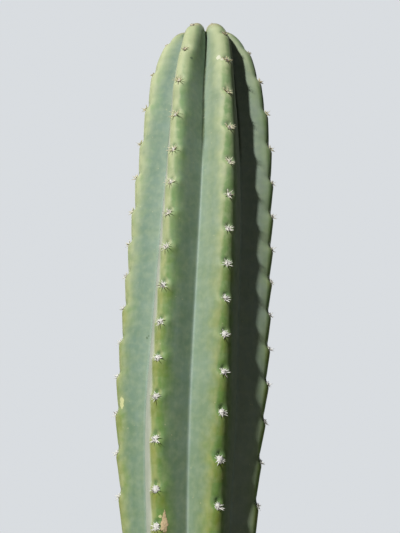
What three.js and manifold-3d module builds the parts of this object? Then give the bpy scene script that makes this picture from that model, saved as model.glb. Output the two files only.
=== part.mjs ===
// San pedro cactus: one column rooted in the ground, with seven ribs and its uppermost areoles.
// Millimetres, +Z up. -Y is the front, +X is to its right, and the ground cuts the column flat at Z = 0.
import * as THREE from "three";
import { mergeVertices } from "three/addons/utils/BufferGeometryUtils.js";
import Module from "manifold-3d";

// The column. A share is a part of the crest's radius, and each ladder is [height, value] pairs.
const HEIGHT = 1880; // ground to the top of the ribs
const TIP_RADIUS = 60.4; // crest radius where the rounded tip starts
const TIP_DEPTH = 220; // height of the rounded tip
const TIP_CROWN = 1.9; // how square the tip is along the column
const TIP_SHOULDER = 3.8; // how square the tip is across it
const EYE_RADIUS = 15; // the growing point in the middle of the tip
const EYE_DEPTH = 5;
const CLEFT_DEPTH = 6; // how far the grooves lie below the crests on the tip

// Crest radius, from the flared foot up, at each waist and swelling that the seasons of growth left.
const GIRTH = [
  [0, 66],
  [110, 60],
  [240, 57.5],
  [410, 61],
  [620, 57.5],
  [790, 62],
  [1010, 56],
  [1190, 61.5],
  [1430, 51.2],
  [1580, 60.9],
  [HEIGHT - TIP_DEPTH, TIP_RADIUS],
];

// How deep the grooves lie between the ribs, and the rounding radius of the ribs' crests.
const GROOVE_SHARE = [
  [0, 0.9],
  [90, 0.84],
  [320, 0.79],
  [1000, 0.76],
  [1500, 0.76],
  [1620, 0.72],
  [1840, 0.66],
];
const CREST_ROUND = [[0, 16], [300, 11], [1450, 9], [1700, 8.5]];
const CREST_ROUND_SHARE = 0.3; // of the crest radius, where the ribs crowd together on the tip

// The axis, from above the origin: it leans a little to the right, and bows to the front.
const AXIS_RIGHT = [[0, 0], [1460, 6.5], [1800, 20.5], [1880, 18]];
const BOW = 5;

// The ribs, counted to the right from the one at the front's left edge.
const FIRST_RIB_TURN = -78.5; // degrees from the front
const RIB_SPACING = [51.5, 45.2, 53.3, 52, 53, 53, 52]; // degrees from each rib to the next
const GROOVE_PLACE = [0.5, 0.5, 0.5, 0.5, 0.48, 0.51, 0.5]; // share of that at which the groove lies
const RIB_SWAY = [0, 0, 3, 3, 0, 0, 0]; // degrees by which each has swung round below the upper stretch
const EVEN = [[0, 0]];
const RIB_LOSS = [
  [[1835, 0], [1868, 2.8]],
  EVEN,
  EVEN,
  [[1450, 0], [1520, 1.2], [1700, 1], [1770, 0]],
  EVEN,
  EVEN,
  EVEN,
]; // how much less each stands out than its neighbours
const SWAY_FROM = 1700;
const SWAY_TO = 1470;
const GROUND_TWIST = 9; // degrees that the ribs have turned at the ground, against the tip
const TIP_TWIST = 10; // degrees that they turn back over the tip
const TIP_TWIST_FROM = 1800;

// The areoles, counted down from the tip, and the notched swelling that each one makes in its crest.
const AREOLE_PITCH = 29.8;
const AREOLE_TOP = 1923; // where the count starts, along the crest
const AREOLE_DRIFT = 0.26; // pitches by which slow and quick growth move them
const DRIFT_SEASON = 400;
const DRIFT_REST = 1635; // where they stand closest
const RIB_COUNT_OFFSET = [0.9, 0.58, 0, 0.12, 0.6, 0.08, 0.45]; // pitches, one for each rib
const TIP_CROWDING = 0.17; // pitches by which they stand closer at the tip
const TIP_CROWDING_FROM = 1790;
const TIP_CROWDING_TO = 1890;
const RIB_STRAY = [
  EVEN,
  [[1461, 0.1], [1489, -0.13], [1540, 0.02], [1620, 0.01], [1676, 0.2], [1750, 0], [1830, -0.04]],
  [[1500, -0.07], [1560, 0.06], [1690, 0.09], [1770, 0]],
  EVEN,
  EVEN,
  EVEN,
  EVEN,
]; // pitches by which single areoles stray along each rib
const SCALLOP = 2.4; // from notch to swelling
const NOTCH_SHARE = 0.24; // of a pitch, in which the crest falls from swelling to notch
const SHOULDER_SCALLOP = 0.55; // share of it left on a crest's shoulder
const SCALLOP_FROM = 40; // height over which the scallops grow out of the plain foot
const SCALLOP_TO = 200;

// One areole: a felt cushion that faces a little upwards, with a fan of spines round a central one.
const AREOLE_TIERS = 8; // on each rib
const APEX_MARGIN = 14; // no areole stands closer to the middle of the tip, along the crest
const CUSHION = { width: 5.4, height: 6.2, proud: 2.3, tilt: 24, facets: 6, bands: 4 };
const SPINE_COUNT = 6;
const SPINE = { thickness: 1.1, shortest: 4.5, longest: 8, lean: 62, dip: 20, sunk: 0.6, facets: 3 };
const CLEARANCE = 0.3; // between an areole and the stem

// The stem's mesh.
const SHOULDER_ANGLE = 60; // degrees round the crest's rounding
const CREST_STEPS = [-NOTCH_SHARE / 2, NOTCH_SHARE / 2, 0.52]; // levels of one pitch, from the swelling's top
const TIP_STEPS = 14; // levels of a groove on the rounded tip
const LAST_LEVEL = 0.9975; // of the crest's length, where the ribs meet the growing point
const SOLVER_PASSES = 12; // to find the level of an areole

const { degToRad, smoothstep, clamp } = THREE.MathUtils;
const UP = new THREE.Vector3(0, 0, 1);

// A value that passes smoothly from one rung of a ladder to the next.
function onLadder(ladder, z) {
  return ladder.slice(1).reduce((value, [top, next], i) => {
    const [foot, last] = ladder[i];
    return value + (next - last) * smoothstep(z, foot, top);
  }, ladder[0][1]);
}

// The line of a crest in the plane of its rib: x is the distance from the column's axis.
class CrestLine extends THREE.Curve {
  arcLengthDivisions = 2000;

  getPoint(t, target = new THREE.Vector3()) {
    const foot = HEIGHT - TIP_DEPTH;
    const along = t * (foot + 2 * TIP_DEPTH);
    if (along <= foot) return target.set(onLadder(GIRTH, along), 0, along);
    const turn = clamp((along - foot) / (2 * TIP_DEPTH), 0, 1) * (Math.PI / 2);
    const radius = TIP_RADIUS * Math.max(Math.cos(turn), 0) ** (2 / TIP_SHOULDER);
    const rise = TIP_DEPTH * Math.sin(turn) ** (2 / TIP_CROWN);
    const eye = EYE_DEPTH * Math.max(1 - radius / EYE_RADIUS, 0) ** 2;
    return target.set(radius, 0, foot + rise - eye);
  }
}

const crestLine = new CrestLine();
const CREST_LENGTH = crestLine.getLength();

// Everything the stem's section needs at one level, which is a distance along the crest.
function sectionAt(level) {
  const share = clamp(level / CREST_LENGTH, 0, 1);
  const crest = crestLine.getPointAt(share);
  const along = crestLine.getTangentAt(share);
  const height = crest.z;
  const tipShare = clamp(crest.x / TIP_RADIUS, 0, 1);
  return {
    crest,
    outward: new THREE.Vector3(along.z, 0, -along.x),
    groove: new THREE.Vector3(
      crest.x * onLadder(GROOVE_SHARE, height),
      0,
      height - CLEFT_DEPTH * 4 * tipShare * (1 - tipShare),
    ),
    round: Math.min(onLadder(CREST_ROUND, height), CREST_ROUND_SHARE * crest.x),
    twist: GROUND_TWIST * (1 - height / HEIGHT) + TIP_TWIST * smoothstep(height, TIP_TWIST_FROM, HEIGHT),
    sway: 1 - smoothstep(height, SWAY_TO, SWAY_FROM),
    axis: new THREE.Vector3(onLadder(AXIS_RIGHT, height), -BOW * Math.sin((Math.PI * height) / HEIGHT), 0),
  };
}

// Takes a point from the plane of a rib to its place round the column.
function turned(point, degrees, section) {
  const front = degToRad(degrees + section.twist - 90);
  return point.clone().applyAxisAngle(UP, front).add(section.axis);
}

// Areoles counted down from the tip to a level on a crest, and back.
function countAt(level, rib) {
  const drift = AREOLE_DRIFT * Math.sin((2 * Math.PI * (level - DRIFT_REST)) / DRIFT_SEASON);
  const crowding = TIP_CROWDING * smoothstep(level, TIP_CROWDING_FROM, TIP_CROWDING_TO);
  const stray = onLadder(RIB_STRAY[rib], level);
  return (AREOLE_TOP - level) / AREOLE_PITCH - drift - crowding - RIB_COUNT_OFFSET[rib] + stray;
}

function levelOf(count, rib) {
  let level = AREOLE_TOP;
  for (let pass = 0; pass < SOLVER_PASSES; pass++) level += (countAt(level, rib) - count) * AREOLE_PITCH;
  return level;
}

// How far a crest stands out at a level: it drops over the notch above each areole, then swells again.
function scallopAt(level, rib) {
  const above = -countAt(level, rib);
  const phase = THREE.MathUtils.euclideanModulo(above + NOTCH_SHARE / 2, 1);
  const fall = smoothstep(phase, 0, NOTCH_SHARE);
  const swelling = clamp((phase - NOTCH_SHARE) / (1 - NOTCH_SHARE), 0, 1);
  const grown = smoothstep(level, SCALLOP_FROM, SCALLOP_TO);
  return SCALLOP * grown * (0.5 - fall + swelling);
}

const ribTurns = RIB_SPACING.map((_, rib) =>
  RIB_SPACING.slice(0, rib).reduce((turn, gap) => turn + gap, FIRST_RIB_TURN),
);

function ribTurn(rib, section) {
  return ribTurns[rib] + section.sway * RIB_SWAY[rib];
}

// A point on a rib: side is 0 on the crest and -1 or 1 on its shoulders.
function ribPoint(level, rib, side) {
  const section = sectionAt(level);
  const angle = degToRad(SHOULDER_ANGLE * Math.abs(side));
  const strength = side === 0 ? 1 : SHOULDER_SCALLOP;
  const spread = clamp(section.crest.x / TIP_RADIUS, 0, 1);
  const swelling = scallopAt(level, rib) * strength * spread - onLadder(RIB_LOSS[rib], section.crest.z);
  const out = swelling - section.round * (1 - Math.cos(angle));
  const point = section.crest.clone().addScaledVector(section.outward, out);
  point.y += section.round * Math.sin(angle) * Math.sign(side);
  return turned(point, ribTurn(rib, section), section);
}

function groovePoint(level, rib) {
  const section = sectionAt(level);
  const sway = (RIB_SWAY[rib] + RIB_SWAY[(rib + 1) % RIB_SWAY.length]) / 2;
  const turn = ribTurns[rib] + RIB_SPACING[rib] * GROOVE_PLACE[rib] + section.sway * sway;
  return turned(section.groove, turn, section);
}

const lastLevel = LAST_LEVEL * CREST_LENGTH;

function crestLevels(rib) {
  const levels = [0];
  for (let count = Math.ceil(countAt(0, rib)); count >= 0; count--) {
    for (const step of CREST_STEPS) {
      const level = levelOf(count - step, rib);
      if (level > SCALLOP_FROM && level < lastLevel - 1) levels.push(level);
    }
  }
  return [...levels, lastLevel];
}

function grooveLevels() {
  const foot = HEIGHT - TIP_DEPTH;
  const steps = Math.round(foot / AREOLE_PITCH);
  const column = Array.from({ length: steps }, (_, i) => (foot * i) / steps);
  const tip = Array.from({ length: TIP_STEPS + 1 }, (_, i) => foot + ((lastLevel - foot) * i) / TIP_STEPS);
  return [...column, ...tip];
}

// The stem as upright columns of points, stitched side to side and closed at the ground and the tip.
function stemGeometry() {
  const columns = [];
  for (let rib = 0; rib < RIB_SPACING.length; rib++) {
    for (const side of [-1, 0, 1]) {
      columns.push(crestLevels(rib).map((level) => ({ level, point: ribPoint(level, rib, side) })));
    }
    columns.push(grooveLevels().map((level) => ({ level, point: groovePoint(level, rib) })));
  }
  const corners = [];
  const face = (a, b, c) => corners.push(a, b, c);
  const tipSection = sectionAt(CREST_LENGTH);
  const tipCentre = turned(tipSection.crest, 0, tipSection);
  columns.forEach((left, i) => {
    const right = columns[(i + 1) % columns.length];
    let l = 0;
    let r = 0;
    while (l < left.length - 1 || r < right.length - 1) {
      const nextLeft = left[l + 1]?.level ?? Infinity;
      const nextRight = right[r + 1]?.level ?? Infinity;
      if (nextLeft <= nextRight) face(left[l].point, right[r].point, left[++l].point);
      else face(left[l].point, right[r].point, right[++r].point);
    }
    face(left[0].point, new THREE.Vector3(), right[0].point);
    face(left[l].point, right[r].point, tipCentre);
  });
  return new THREE.BufferGeometry().setFromPoints(corners);
}

const wasm = await Module();
wasm.setup();

function solidOf(geometry) {
  const bare = geometry.index ? geometry.toNonIndexed() : geometry.clone();
  bare.deleteAttribute("normal");
  bare.deleteAttribute("uv");
  const merged = mergeVertices(bare, 1e-4);
  return new wasm.Manifold(
    new wasm.Mesh({
      numProp: 3,
      vertProperties: merged.getAttribute("position").array,
      triVerts: new Uint32Array(merged.index.array),
    }),
  );
}

function geometryOf(solid) {
  const { vertProperties, triVerts } = solid.getMesh();
  return new THREE.BufferGeometry()
    .setAttribute("position", new THREE.BufferAttribute(new Float32Array(vertProperties), 3))
    .setIndex(new THREE.BufferAttribute(new Uint32Array(triVerts), 1))
    .toNonIndexed();
}

// The same scatter between 0 and 1 for the same seed.
function scatter(seed) {
  return THREE.MathUtils.euclideanModulo(Math.sin(seed * 12.9898) * 43758.5453, 1);
}

// Where an areole sits: its origin on the crest, local Z straight out of it and local Y up the rib.
function areoleSeat(level, rib) {
  const section = sectionAt(level);
  const turn = (vector) => turned(vector, ribTurn(rib, section), section).sub(section.axis);
  const uphill = new THREE.Vector3(-section.outward.z, 0, section.outward.x);
  const tilt = degToRad(CUSHION.tilt);
  const facing = section.outward.clone().multiplyScalar(Math.cos(tilt));
  const out = turn(facing.addScaledVector(uphill, Math.sin(tilt)));
  const side = turn(new THREE.Vector3(0, 1, 0));
  const basis = new THREE.Matrix4().makeBasis(side, new THREE.Vector3().crossVectors(out, side), out);
  return basis.setPosition(ribPoint(level, rib, 0));
}

// Spine 0 is the central one; the others stand round it.
function spine(number, seed) {
  const length = SPINE.shortest + (SPINE.longest - SPINE.shortest) * scatter(seed + number);
  const cone = new THREE.ConeGeometry(SPINE.thickness / 2, length, SPINE.facets, 1);
  cone.translate(0, length / 2 + SPINE.sunk, 0);
  if (number === 0) return cone.rotateX(degToRad(90 + SPINE.dip));
  const turn = (number + scatter(seed - number) / 2) / (SPINE_COUNT - 1);
  return cone.rotateX(degToRad(90 - SPINE.lean)).rotateZ(2 * Math.PI * turn);
}

// A cushion with its spines, cut to fit the crest under it.
function areoleGeometry(stem, seat, seed) {
  const cushion = new THREE.SphereGeometry(1, CUSHION.facets, CUSHION.bands);
  cushion.scale(CUSHION.width / 2, CUSHION.height / 2, CUSHION.proud);
  let areole = solidOf(cushion);
  for (let number = 0; number < SPINE_COUNT; number++) areole = areole.add(solidOf(spine(number, seed)));
  const inside = stem.transform(seat.clone().invert().elements).translate([0, 0, CLEARANCE]);
  const pieces = areole.subtract(inside).decompose();
  pieces.sort((a, b) => b.volume() - a.volume());
  return geometryOf(pieces[0]);
}

function named(name, geometry, material) {
  const mesh = new THREE.Mesh(geometry, material);
  mesh.name = name;
  mesh.geometry.computeVertexNormals();
  return mesh;
}

const stemSkin = new THREE.MeshStandardMaterial({ color: 0x7f9c72, roughness: 0.55, metalness: 0 });
const areoleFelt = new THREE.MeshStandardMaterial({ color: 0xd9d2bd, roughness: 0.9, metalness: 0 });

const cactus = new THREE.Group();
const stem = stemGeometry();
const stemSolid = solidOf(stem);
cactus.add(named("stem", stem, stemSkin));

RIB_SPACING.forEach((_, rib) => {
  const first = Math.ceil(countAt(CREST_LENGTH - APEX_MARGIN, rib));
  for (let tier = 0; tier < AREOLE_TIERS; tier++) {
    const seat = areoleSeat(levelOf(first + tier, rib), rib);
    const geometry = areoleGeometry(stemSolid, seat, rib * AREOLE_TIERS + tier + 1);
    const areole = named(`areole_rib${rib + 1}_tier${tier + 1}`, geometry, areoleFelt);
    seat.decompose(areole.position, areole.quaternion, areole.scale);
    cactus.add(areole);
  }
});

export default cactus;
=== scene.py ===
"""San pedro cactus: the looks of one ribbed column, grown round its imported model."""

import math

import bpy
import mathutils
from bpy.props import FloatProperty, FloatVectorProperty, IntProperty, PointerProperty
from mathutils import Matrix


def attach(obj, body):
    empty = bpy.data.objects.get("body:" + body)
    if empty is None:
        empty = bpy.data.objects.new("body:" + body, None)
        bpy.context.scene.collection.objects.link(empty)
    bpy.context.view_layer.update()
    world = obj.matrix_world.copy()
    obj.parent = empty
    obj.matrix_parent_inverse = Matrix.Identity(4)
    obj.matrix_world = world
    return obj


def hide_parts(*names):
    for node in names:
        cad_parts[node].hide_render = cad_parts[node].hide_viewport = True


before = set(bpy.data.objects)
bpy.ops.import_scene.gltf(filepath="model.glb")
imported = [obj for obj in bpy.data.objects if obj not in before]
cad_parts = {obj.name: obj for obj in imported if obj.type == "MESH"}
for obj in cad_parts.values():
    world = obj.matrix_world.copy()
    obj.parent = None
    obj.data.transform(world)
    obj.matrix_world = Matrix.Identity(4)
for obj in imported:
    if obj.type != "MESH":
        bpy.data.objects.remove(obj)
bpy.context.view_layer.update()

bl_info = {
    "name": "San Pedro Cactus",
    "version": (1, 0, 0),
    "blender": (4, 5, 0),
    "location": "View3D > Sidebar > Cactus",
    "description": "Grows a ribbed cactus column with its areoles and spines",
    "category": "Object",
}

# The column, as its solid has it, in metres. A ladder is a list of [height, value] rungs.
HEIGHT = 1.880
TIP_RADIUS = 0.0604
TIP_DEPTH = 0.220
TIP_CROWN = 1.9
TIP_SHOULDER = 3.8
EYE_RADIUS = 0.015
EYE_DEPTH = 0.005
CLEFT_DEPTH = 0.006
COLUMN_TOP = HEIGHT - TIP_DEPTH
GIRTH = [[0, 0.066], [0.11, 0.06], [0.24, 0.0575], [0.41, 0.061], [0.62, 0.0575], [0.79, 0.062]]
GIRTH += [[1.01, 0.056], [1.19, 0.0615], [1.43, 0.0512], [1.58, 0.0609], [COLUMN_TOP, TIP_RADIUS]]
GROOVE_SHARE = [[0, 0.9], [0.09, 0.84], [0.32, 0.79], [1.0, 0.76], [1.5, 0.76], [1.62, 0.72], [1.84, 0.66]]
CREST_ROUND = [[0, 0.016], [0.3, 0.011], [1.45, 0.009], [1.7, 0.0085]]
CREST_ROUND_SHARE = 0.3
AXIS_RIGHT = [[0, 0], [1.46, 0.0065], [1.8, 0.0205], [1.88, 0.018]]
BOW = 0.005

# The ribs, counted to the right from the one at the front's left edge, in degrees.
FIRST_RIB_TURN = -78.5
RIB_SPACING = [51.5, 45.2, 53.3, 52, 53, 53, 52]
RIB_TURNS = [FIRST_RIB_TURN + sum(RIB_SPACING[:rib]) for rib in range(len(RIB_SPACING))]
GROOVE_PLACE = [0.5, 0.5, 0.5, 0.5, 0.48, 0.51, 0.5]
TO_RIGHT_GROOVE = [spacing * place for spacing, place in zip(RIB_SPACING, GROOVE_PLACE)]
TO_LEFT_GROOVE = [RIB_SPACING[rib - 1] - TO_RIGHT_GROOVE[rib - 1] for rib in range(len(RIB_SPACING))]
RIB_SWAY = [0, 0, 3, 3, 0, 0, 0]  # how far a rib has swung round below the upper stretch
RIB_LOSS = {  # how much less a rib, counted from 0, stands out than its neighbours
    0: [[1.835, 0], [1.868, 0.0028]],
    3: [[1.45, 0], [1.52, 0.0012], [1.70, 0.0010], [1.77, 0]],
}
SWAY_FROM = 1.700
SWAY_TO = 1.470
SWAY_TO_RIGHT_GROOVE = [(after - sway) / 2 for sway, after in zip(RIB_SWAY, RIB_SWAY[1:] + RIB_SWAY[:1])]
SWAY_TO_LEFT_GROOVE = SWAY_TO_RIGHT_GROOVE[-1:] + SWAY_TO_RIGHT_GROOVE[:-1]
GROUND_TWIST = 9
TIP_TWIST = 10
TIP_TWIST_FROM = 1.8

# The areoles, counted down from the tip. Their count drifts to and fro with the seasons of growth, each rib
# starts it at its own offset, and they crowd at the tip.
AREOLE_PITCH = 0.0298
AREOLE_TOP = 1.923
AREOLE_DRIFT = 0.26
DRIFT_SEASON = 0.400
DRIFT_REST = 1.635
RIB_COUNT_OFFSET = [0.9, 0.58, 0, 0.12, 0.6, 0.08, 0.45]
RIB_STRAY = {  # how far a rib's areoles stray from their even count, in areoles
    1: [[1.461, 0.1], [1.489, -0.13], [1.54, 0.02], [1.62, 0.01], [1.676, 0.2], [1.75, 0], [1.83, -0.04]],
    2: [[1.5, -0.07], [1.56, 0.06], [1.69, 0.09], [1.77, 0]],
}
RIB_TINT = [-0.75, -0.35, 0.8, -0.8, 0.3, -0.3, 0.2]  # from the bluest skin to the warmest
RIB_WAX_AND_SHEEN = [0.8, 1, 0, 0.3, 0.6, 0.2, 0.5]  # creamy wax on the left flank, and painted sheen where that flank is seen edge-on in the light
RIB_AREOLE_SIZE = [0.72, 1, 1, 0.68, 0.85, 0.9, 0.85]  # how large a rib's areoles are, as a share
LIT_SIDE_TURN = -55  # the side on which the sun has bleached the crests; crests facing it are also painted lighter, and those facing away painted darker
TIP_CROWDING = 0.17
TIP_CROWDING_FROM = 1.79
TIP_CROWDING_TO = 1.89
APEX_MARGIN = 0.014
LOWEST_AREOLE = 0.045
TIERS = 66  # areoles that are counted out on each rib, some of them below the lowest one
SOLVER_PASSES = 6  # passes in which an areole's count is turned into its level
SCALLOP_FROM = 0.040
SCALLOP_TO = 0.200
SEAM = 1.430  # height of the waist where the upper and the lower skin meet

# Scars on the front, the last of them the painted shade of a small dimple: the colour of each, its middle,
# and its half width, depth and height.
SCARS = [
    ("healed", (-0.0450, -0.0215, 1.5530), (0.0018, 0.0030, 0.0052)),
    ("healed", (-0.0133, -0.0514, 1.4712), (0.0012, 0.0030, 0.0011)),
    ("chalk", (0.0300, -0.0434, 1.8333), (0.0021, 0.0030, 0.0027)),
    ("chalk", (0.0334, -0.0436, 1.8303), (0.0017, 0.0030, 0.0015)),
    ("graze_and_dimple_shade", (-0.0261, -0.0286, 1.6019), (0.0007, 0.0030, 0.0011)),
    ("graze_and_dimple_shade", (-0.0247, -0.0290, 1.6034), (0.0005, 0.0030, 0.0007)),
    # painted shade of a small dimple on a crest
    ("graze_and_dimple_shade", (0.0081, -0.0432, 1.8321), (0.0012, 0.0030, 0.0012)),
]
CORK_SCAR = (-0.0102, -0.0513, 1.4680)
CORK_SCAR_SIZE = (0.0024, 0.0040, 0.0082)
CORK_SCAR_TAPER = 0.75

# The heights over which flanks and crests pass from old to young skin, how far a crest faces the lit side as
# it passes from its fresh colour, painted darker, to its sun-bleached one, painted lighter, and how far from
# its line that colour reaches, old and young.
YOUNG_FLANK = (1.50, 1.82)
YOUNG_CREST = (1.555, 1.79)
LIT_AND_BLEACHED = (0.62, 0.86)
CREST_BAND = (0.0185, 0.0145)

# The skin's blotches: how many to the metre, how much of it they cover and how softly they end.
BLOTCHES = {
    "wander": (38.0, 0.5, 0.3),
    "ragged": (130.0, 0.5, 0.3),
    "streaks": (160.0, 0.5, 0.25),
    "cool": (26.0, 0.45, 0.25),
    "stripes": (75.0, 0.5, 0.3),
    "brushed": (140.0, 0.45, 0.14),
    "dark marks": (230.0, 0.42, 0.1),
    "pale marks": (200.0, 0.38, 0.1),
    "pale edge": (110.0, 0.42, 0.08),
    "blush": (60.0, 0.62, 0.2),
    "weals": (95.0, 0.5, 0.3),
    "flecks": (210.0, 0.45, 0.25),
    "specks": (70.0, 0.4, 0.02),
    "foot": (90.0, 0.62, 0.15),
    "scab": (900.0, 0.4, 0.15),
}

# How a rib's columns are dealt out, the share on the rounded crest and how they crowd at the groove, and how
# many points the line of a crest has.
CREST_COLUMNS = 0.42
GROOVE_CROWDING = 1.6
CREST_SAMPLES = 2001

# The rest of the skin's rule: the handle that arches a flank, as a share of it; the distances from the crest
# over which a rib's loss fades; how the groove's bed narrows towards the tip; the width beside a groove in
# which tint and unevenness fade; where the wax, which also paints sheen on flanks seen edge-on in the light,
# starts on the columns from the crest, and ends at the groove; and the angle in radians at which an edge of
# the skin is sharp.
FLANK_HANDLE = 0.4
LOSS_FADE = (0.004, 0.024)
BED_NARROWS = (1.68, 1.80, 1, 0.35)
GROOVE_FADE = 0.006
WAX_SHEEN_FROM_CREST = (0.2, CREST_COLUMNS)
WAX_SHEEN_TO_GROOVE = (0, 0.002)
SHARP_EDGE = 1.2
NEXT_TO_NOTHING = 1e-6
A_TOUCH = 1e-4

# What grows on the areoles: the tier at which one has the age of 1, the felt's lumps, and how a needle's
# rings crowd to its foot and how bluntly it ends.
GROWN_TIER = 9
LUMPS_IN_A_METRE = 900.0
LUMP_DEPTH = 0.0011
NEEDLE_CROWDING = 1.5
NEEDLE_TAPER = 0.45

# The ages between which each grows, and its size before and after them.
CUSHION_GROWTH = (0.2, 1.5, 0.8, 1.3)
HAIR_GROWTH = (0, 1.3, 0.6, 1.2)
SPINE_GROWTH = (0, 0.25, 0.25, 1)

# How hairs and spines stand on a cushion: spread over a share of its width and height, rooted at a share of
# its depth, and leaning out from its middle by an angle in radians.
HAIR_SPREAD = 0.46
HAIR_SEAT = 0.8
HAIR_LEAN = 1.5
HAIR_CROWDING = 0.6  # the power that crowds the hairs outwards
SPINE_SPREAD = 0.22
SPINE_SEAT = 0.25
SPINE_LEAN = (0.95, 1.15)  # above and below the middle
SPINES_AGE = (0.3, 1.2)  # over these ages spines pass from young to old
UPPER_SPINES = (0.8, 0.5)  # their share of the length, young and old
LOWER_SPINES = (1.0, 0.9)

# The lights and the floor. A light's turn and rise are seen from the point at which it is aimed.
KEY_DISTANCE = 5
FILL_LIGHT = {"size": 2.5, "turn": math.radians(-165), "rise": math.radians(12), "distance": 4}
BACK_LIGHT = {"size": 2.5, "turn": math.radians(165), "rise": math.radians(18), "distance": 5}
LIT_HEIGHT = 0.8  # share of the height at which all lights are aimed
FLOOR_LEVEL = -0.0005


def colour_property(name, description, *tone):
    """A colour from a colour picker's 0 to 255 values, kept as the linear one that materials take."""
    steps = [value / 255 for value in tone]
    linear = tuple(v / 12.92 if v <= 0.04045 else ((v + 0.055) / 1.055) ** 2.4 for v in steps)
    limits = {"size": 3, "min": 0, "max": 1}
    return FloatVectorProperty(name=name, description=description, default=linear, subtype="COLOR", **limits)


def number_property(name, description, default, **settings):
    return FloatProperty(name=name, description=description, default=default, **settings)


def length_property(name, description, metres):
    return number_property(name, description, metres, min=0, unit="LENGTH")


def angle_property(name, description, degrees):
    return number_property(name, description, math.radians(degrees), subtype="ANGLE")


def count_property(name, description, default, least=1):
    return IntProperty(name=name, description=description, default=default, min=least)


class CactusStemSizes(bpy.types.PropertyGroup):
    rib_columns: count_property("Columns", "Columns of points on each rib", 34, 8)
    upper_rings: count_property("Upper rings", "Rings above the seam", 370, 8)
    lower_rings: count_property("Lower rings", "Rings below the seam", 350, 8)
    scallop: length_property("Scallop", "From an areole's notch to the swelling under it", 0.0024)
    notch_share: number_property("Notch", "Part of a pitch in which the crest falls to the notch", 0.24)
    scallop_reach: length_property("Scallop reach", "How far the scallops run down the flanks", 0.012)
    chevron: number_property("Chevron", "How steeply an areole's crease climbs as it runs outwards", 0.35)
    pit: length_property("Pit", "Depth of the dimple above an areole", 0.0017)
    pit_reach: length_property("Pit reach", "Size of that dimple", 0.0022)
    pit_height: length_property("Pit height", "How far the dimple lies above the areole", 0.0031)
    groove_rounding: length_property("Groove rounding", "Half the width of a groove's rounded bed", 0.0012)
    flank_crown: angle_property("Flank crown", "How much a flank arches", 8)
    unevenness: length_property("Unevenness", "How far the skin strays from its ideal shape", 0.0012)
    unevenness_scale: number_property("Unevenness scale", "Bumps in a metre", 22)


class CactusSkinColours(bpy.types.PropertyGroup):
    flank_young: colour_property("Young flank", "Waxy sides of the ribs near the tip", 148, 168, 144)
    flank_old: colour_property("Old flank", "The same skin further down", 122, 147, 116)
    mellow: colour_property("Mellow flank", "Yellower tinge of the oldest skin", 112, 136, 84)
    teal: colour_property("Teal", "Bluer skin, in blotches and all over the coolest rib", 106, 136, 118)
    warm: colour_property("Warm", "Skin of the warmest rib", 164, 178, 138)
    # The crests' two sides: the sunny colours also carry painted light, the fresh ones painted shade.
    lit_bleached_young: colour_property("Young sunny crest", "Sunny side of the crests near the tip", 196, 204, 159)
    lit_bleached_old: colour_property("Old sunny crest", "The same skin further down", 154, 163, 88)
    fresh_and_shaded_young: colour_property("Young fresh crest", "Shady side of the crests near the tip", 139, 173, 117)
    fresh_and_shaded_old: colour_property("Old fresh crest", "The same skin further down", 112, 148, 70)
    deep: colour_property("Deep green", "Darker streaks along the crests", 98, 126, 58)
    olive: colour_property("Olive", "Sunned patch under each areole", 142, 146, 52)
    bloom: colour_property("Bloom", "Pale wax that is left in the grooves", 178, 194, 190)
    # Also painted sheen on flanks seen edge-on in the light.
    wax: colour_property("Wax", "Creamy wax on the left flanks of some ribs", 220, 222, 208)
    tip: colour_property("Tip", "The youngest skin, at the top of the ribs", 216, 222, 176)
    blush: colour_property("Blush", "Reddish tint on it", 206, 176, 146)
    cork: colour_property("Cork", "Bark of the foot", 168, 146, 114)
    scab: colour_property("Scab", "The corky scar", 216, 192, 150)
    speck: colour_property("Speck", "Small pale specks", 206, 204, 160)
    healed: colour_property("Healed", "Pale scars", 224, 224, 164)
    chalk: colour_property("Chalk", "Whitish patches", 240, 238, 214)
    # Also the painted shade of a small dimple on a crest.
    graze_and_dimple_shade: colour_property("Graze", "Dark little scars", 92, 112, 84)
    # Painted shade in the narrow clefts near the tip.
    cleft_shade: colour_property("Crease", "The closed clefts near the tip", 58, 72, 48)


class CactusAreoleSizes(bpy.types.PropertyGroup):
    cushion_width: length_property("Cushion width", "Width of an areole's felt", 0.0036)
    cushion_height: length_property("Cushion height", "Its height along the rib", 0.0042)
    cushion_proud: length_property("Cushion proud", "How far it stands out", 0.0017)
    tilt: angle_property("Tilt", "How far an areole faces up", 24)
    hairs: count_property("Hairs", "Hairs on each cushion", 34)
    hair_length: length_property("Hair length", "Length of a felt hair", 0.0015)
    hair_thickness: length_property("Hair thickness", "Thickness of a felt hair", 0.00032)
    spines: count_property("Spines", "Spines of each areole", 10)
    spine_length: length_property("Spine length", "Length of a longer spine", 0.0064)
    spine_thickness: length_property("Spine thickness", "Thickness of a spine at its foot", 0.00090)
    felt: colour_property("Felt", "Felt of the cushions", 255, 254, 250)
    felt_shade: colour_property("Felt shade", "Weathered felt and spines", 178, 168, 146)
    felt_young: colour_property("Young felt", "Felt of the youngest areoles", 206, 184, 136)
    spine: colour_property("Spine", "Grown spines", 254, 252, 242)
    spine_young: colour_property("Young spine", "Spines of the younger areoles", 226, 214, 158)
    spine_tip: colour_property("Spine tip", "Points and the darker spines", 104, 78, 52)


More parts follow.
